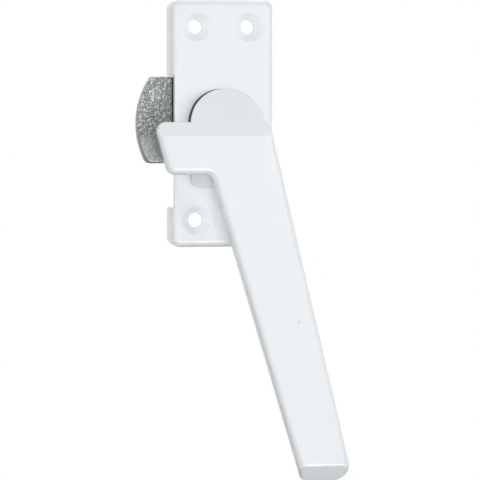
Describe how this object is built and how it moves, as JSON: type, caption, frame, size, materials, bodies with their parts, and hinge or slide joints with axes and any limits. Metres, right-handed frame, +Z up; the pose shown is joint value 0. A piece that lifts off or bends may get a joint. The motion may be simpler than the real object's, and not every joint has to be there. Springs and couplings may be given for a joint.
{
  "type": "window lock",
  "caption": "Casement window lock: flat screw-on housing, round hub with a leaning lever handle, and a cam tongue that swings out of the housing's side to hold the sash shut.",
  "frame": {"origin": "where the spindle's axis meets the mounting plane, the housing's back face", "axes": "+Z up along the housing, +Y into the sash that it is screwed to, -Y the front, +X away from the cam"},
  "size_m": [0.0612, 0.022, 0.1422],
  "materials": {
    "white_lacquer": "smooth white stoved lacquer, satin to semi-gloss, on a zinc die-casting",
    "black_nylon": "moulded black nylon",
    "galvanised_casting": "rough sand-cast face with a bright zinc coat",
    "plated_steel": "bright zinc plating"
  },
  "bodies": {
    "housing": {"housing": "white_lacquer", "bearing_collar": "black_nylon"},
    "handle": {"handle": "white_lacquer", "cam": "galvanised_casting", "disc_spring": "plated_steel", "retaining_washer": "plated_steel", "cam_screw": "plated_steel"}
  },
  "joints": [
    {"name": "handle_turn", "type": "hinge", "parent": "housing", "child": "handle", "pos_m": [0, 0, 0], "axis": [0, -1, 0], "range_deg": [0, 90]}
  ]
}
